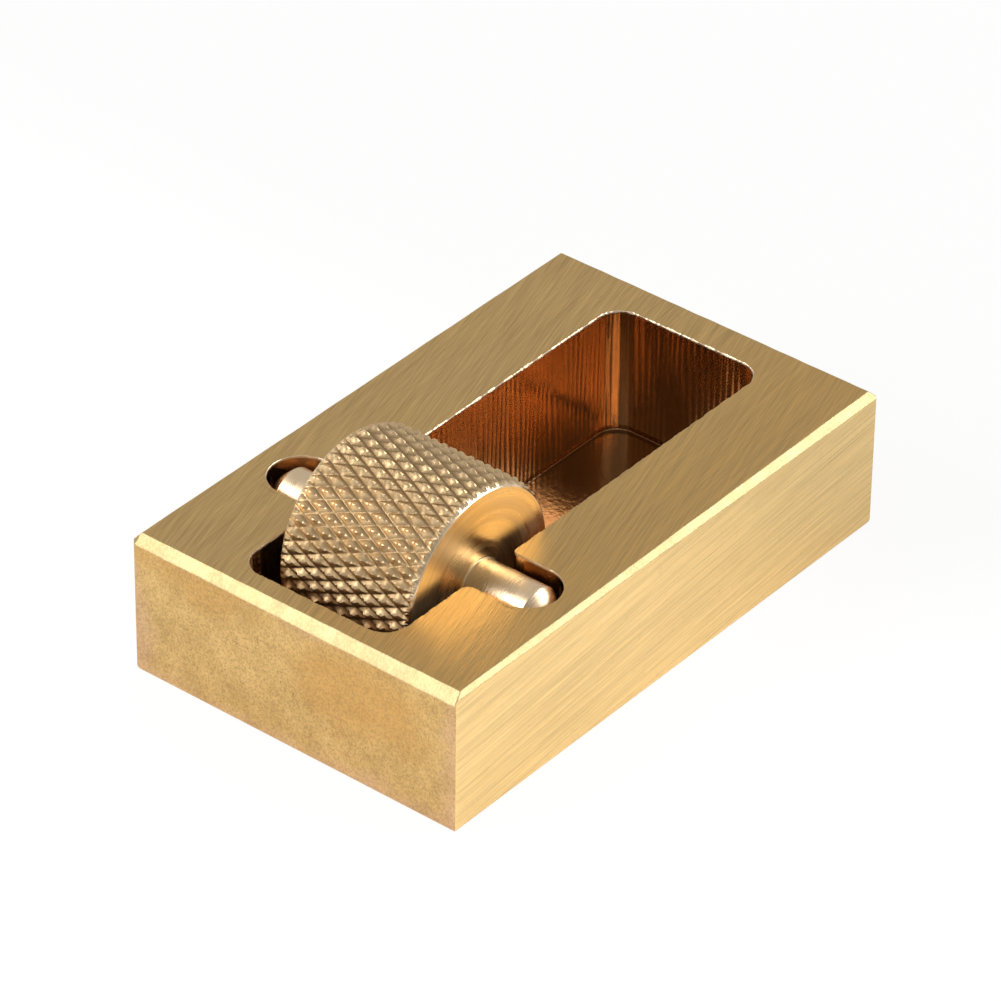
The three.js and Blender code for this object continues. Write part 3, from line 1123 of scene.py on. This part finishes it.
class ROLLERTRAY_OT_tray(bpy.types.Operator):
    """Build the milled block with its brushed, sawn and milled faces"""

    bl_idname = "rollertray.tray"
    bl_label = "Build tray"

    def execute(self, context):
        sizes = context.scene.roller_tray_sizes
        colours = context.scene.roller_tray_colours
        filed = {
            "lines": 6000.0, "stretch": 0.12, "roughness": 0.48, "depth": 0.00004,
            "patches": 200.0, "contrast": 0.55,
        }
        filed_colours = (colours.filed, (0.88, 0.70, 0.40))
        finishes = {
            "bottom": brushed_finish(
                "brushed brass bottom", colours.brushed, (0.84, 0.58, 0.26),
                UNTURNED, roughness=0.36, depth=0.00002,
            ),
            "side": brushed_finish(
                "brushed brass side", colours.side, (0.92, 0.66, 0.29),
                (0.0, math.radians(5), 0.0), lines=9500.0, stretch=0.018, roughness=0.34,
                depth=0.00006, contrast=0.6,
            ),
            "end": sawn_finish(colours, sizes.width / 2, sizes.height),
            "far_end": brushed_finish(
                "brushed brass far end", colours.brushed, (0.86, 0.6, 0.26),
                flat_turn(90), roughness=0.38, depth=0.00002,
            ),
            "bevel": brushed_finish(
                "filed brass long bevel", *filed_colours, flat_turn(75), **filed
            ),
            "end_bevel": brushed_finish(
                "filed brass end bevel", *filed_colours, flat_turn(-15), **filed
            ),
            # The top carries a painted gold reflection of the roller's face towards -Y
            "top": brushed_finish(
                "brushed brass top", colours.brushed, (0.84, 0.6, 0.27),
                flat_turn(-17), lines=9000.0, stretch=0.018, roughness=0.36,
                depth=0.00007, contrast=0.85, cross=flat_turn(-6), reflection_share=0.85,
            ),
            # The burr is real; its pale colour is a painted highlight that makes the rim shine
            # brighter
            "rim": turned_finish(
                "pocket rim burr with painted highlight", (1.0, 0.80, 0.59),
                roughness=0.45, anisotropy=0.0, rings=3000.0, depth=0.00002, contrast=0.1,
            ),
            "wall": milled_finish("milled brass wall", colours.milled, sizes, True),
            "floor": milled_finish(
                "milled brass floor", colours.pocket_floor, sizes, False
            ),
        }
        build_tray(sizes, finishes)
        return {"FINISHED"}


class ROLLERTRAY_OT_roller(bpy.types.Operator):
    """Build the knurled roller with its turned faces and axles"""

    bl_idname = "rollertray.roller"
    bl_label = "Build roller"

    def execute(self, context):
        sizes = context.scene.roller_tray_roller
        colours = context.scene.roller_tray_colours
        finishes = {
            "turned": turned_finish(
                "turned brass axle", colours.turned,
                roughness=0.28, anisotropy=0.5, rings=5600.0, depth=0.00003, contrast=0.12,
            ),
            "face": turned_finish(
                "turned brass face", colours.faced,
                roughness=0.27, anisotropy=0.85, rings=5200.0, depth=0.00002, contrast=0.4,
            ),
            "chamfer": turned_finish(
                "turned brass chamfer", colours.turned,
                roughness=0.22, anisotropy=0.3, rings=4000.0, depth=0.000005, contrast=0.1,
            ),
            "knurl": knurled_finish(colours, sizes),
        }
        build_roller(sizes, finishes)
        return {"FINISHED"}


# Softboxes: name, azimuth, elevation and width. They have one height and one distance.
SOFTBOXES = (("softbox_right", 46.0, 31.0, 0.62), ("softbox_back_left", -134.0, 38.0, 0.55))
SOFTBOX_HEIGHT = 0.40
SOFTBOX_DISTANCE = 0.8


class ROLLERTRAY_OT_stage(bpy.types.Operator):
    """Set up the camera, the pale floor and the studio light"""

    bl_idname = "rollertray.stage"
    bl_label = "Set up stage"

    def execute(self, context):
        settings = context.scene.roller_tray_studio
        context.scene.view_settings.view_transform = "Standard"
        build_camera(context.scene, settings)
        build_floor(context.scene)
        build_room(context.scene, settings)
        for name, azimuth, elevation, width in SOFTBOXES:
            build_softbox(context.scene, name, azimuth, elevation, width, settings.box_strength)
        return {"FINISHED"}


def direction(azimuth, elevation):
    """Unit vector towards an azimuth and elevation in radians; azimuth 0 is towards -Y."""
    flat = math.cos(elevation)
    return Vector((math.sin(azimuth) * flat, -math.cos(azimuth) * flat, math.sin(elevation)))


def build_camera(scene, settings):
    """The camera, looking along the direction of the settings with its own roll and aim."""
    camera = bpy.data.objects.new("camera", bpy.data.cameras.new("camera"))
    scene.collection.objects.link(camera)
    back = direction(settings.azimuth, settings.elevation)
    right = Vector((math.cos(settings.azimuth), math.sin(settings.azimuth), 0.0))
    up = back.cross(right)
    aim = Vector((0.0, 0.0, settings.aim_height)) - settings.aim_left * right + settings.aim_up * up
    level_right = math.cos(settings.roll) * right + math.sin(settings.roll) * up
    level_up = math.cos(settings.roll) * up - math.sin(settings.roll) * right
    turn = Matrix((level_right, level_up, back)).transposed().to_4x4()
    camera.matrix_world = Matrix.Translation(aim + settings.distance * back) @ turn
    camera.data.sensor_width = 36.0
    camera.data.lens = settings.lens
    camera.data.clip_start = 0.01
    scene.camera = camera


def build_floor(scene):
    """A wide pale floor that gives off a little light of its own, so that it stays white."""
    half = 6.0
    below = -0.00002
    corners = ((-half, -half), (half, -half), (half, half), (-half, half))
    mesh = bpy.data.meshes.new("floor")
    mesh.from_pydata([(x, y, below) for x, y in corners], [], [(0, 1, 2, 3)])
    floor = bpy.data.objects.new("floor", mesh)
    scene.collection.objects.link(floor)
    material = bpy.data.materials.new("pale floor")
    material.use_nodes = True
    tree = material.node_tree
    tree.nodes.clear()
    # The light it gives off falls away from the middle of the tray to a little past its far end
    along = split(tree, put(tree, "ShaderNodeTexCoord").outputs["Object"])[0]
    paint = put(
        tree,
        "ShaderNodeBsdfPrincipled",
        {
            "Base Color": (0.9, 0.9, 0.9, 1.0),
            "Roughness": 0.9,
            "Emission Color": (1.0, 0.995, 0.985, 1.0),
            "Emission Strength": spread(tree, along, 0.001, 0.032, 0.47, 0.1),
        },
    )
    white = put(tree, "ShaderNodeEmission", {"Color": (1.0, 1.0, 1.0, 1.0), "Strength": 1.0})
    path = put(tree, "ShaderNodeLightPath")
    share = calc(tree, "MULTIPLY", path.outputs["Is Camera Ray"], 0.85)
    mix = put(tree, "ShaderNodeMixShader", {0: share, 1: paint.outputs[0], 2: white.outputs[0]})
    put(tree, "ShaderNodeOutputMaterial", {"Surface": mix.outputs[0]})
    mesh.materials.append(material)


def build_room(scene, settings):
    """A plain grey room that shows as white where the camera looks straight at it."""
    world = bpy.data.worlds.new("room")
    world.use_nodes = True
    tree = world.node_tree
    tree.nodes.clear()
    # The room is darker on the side where the camera stands
    place = put(tree, "ShaderNodeTexCoord").outputs["Generated"]
    back = direction(settings.azimuth, settings.elevation)
    towards = vector_step(tree, "DOT_PRODUCT", place, back, "Value")
    bright = settings.room_strength
    strength = spread(tree, towards, 0.7, 0.98, bright, bright * 0.55)
    room_light = {"Color": (1.0, 0.99, 0.97, 1.0), "Strength": strength}
    grey = put(tree, "ShaderNodeBackground", room_light)
    white = put(tree, "ShaderNodeBackground", {"Color": (1.0, 1.0, 1.0, 1.0), "Strength": 1.0})
    path = put(tree, "ShaderNodeLightPath")
    feeds = {0: path.outputs["Is Camera Ray"], 1: grey.outputs[0], 2: white.outputs[0]}
    mix = put(tree, "ShaderNodeMixShader", feeds)
    put(tree, "ShaderNodeOutputWorld", {"Surface": mix.outputs[0]})
    scene.world = world


def build_softbox(scene, name, azimuth, elevation, width, radiance):
    """A rectangular area light of the given brightness that faces the tray. Its power is its
    radiance times its area times pi."""
    light = bpy.data.lights.new(name, "AREA")
    light.shape = "RECTANGLE"
    light.size = width
    light.size_y = SOFTBOX_HEIGHT
    light.energy = radiance * width * SOFTBOX_HEIGHT * math.pi
    lamp = bpy.data.objects.new(name, light)
    scene.collection.objects.link(lamp)
    towards = direction(math.radians(azimuth), math.radians(elevation))
    turn = towards.to_track_quat("Z", "Y").to_matrix().to_4x4()
    lamp.matrix_world = Matrix.Translation(towards * SOFTBOX_DISTANCE) @ turn


class ROLLERTRAY_PT_panel(bpy.types.Panel):
    """The tray's sizes, colours and build steps"""

    bl_idname = "ROLLERTRAY_PT_panel"
    bl_label = "Roller tray"
    bl_space_type = "VIEW_3D"
    bl_region_type = "UI"
    bl_category = "Roller tray"

    def draw(self, context):
        for operator in OPERATORS:
            self.layout.operator(operator.bl_idname)
        for name in SETTINGS:
            settings = getattr(context.scene, name)
            box = self.layout.box()
            for field in settings.bl_rna.properties:
                if field.identifier not in ("name", "rna_type"):
                    box.prop(settings, field.identifier)


OPERATORS = (ROLLERTRAY_OT_tray, ROLLERTRAY_OT_roller, ROLLERTRAY_OT_stage)
SETTINGS = {
    "roller_tray_sizes": TraySizes,
    "roller_tray_roller": RollerSizes,
    "roller_tray_colours": BrassColours,
    "roller_tray_studio": StudioSettings,
}
CLASSES = (*SETTINGS.values(), *OPERATORS, ROLLERTRAY_PT_panel)


def register():
    """Registers the classes and their settings on the scene."""
    for item in CLASSES:
        bpy.utils.register_class(item)
    for name, group in SETTINGS.items():
        setattr(bpy.types.Scene, name, bpy.props.PointerProperty(type=group))


def unregister():
    """Takes the settings and classes away again."""
    for name in SETTINGS:
        delattr(bpy.types.Scene, name)
    for item in reversed(CLASSES):
        bpy.utils.unregister_class(item)


def main():
    """Builds everything in order."""
    register()
    bpy.ops.rollertray.stage()
    bpy.ops.rollertray.tray()
    bpy.ops.rollertray.roller()
    bpy.context.view_layer.update()


if __name__ == "__main__":
    main()
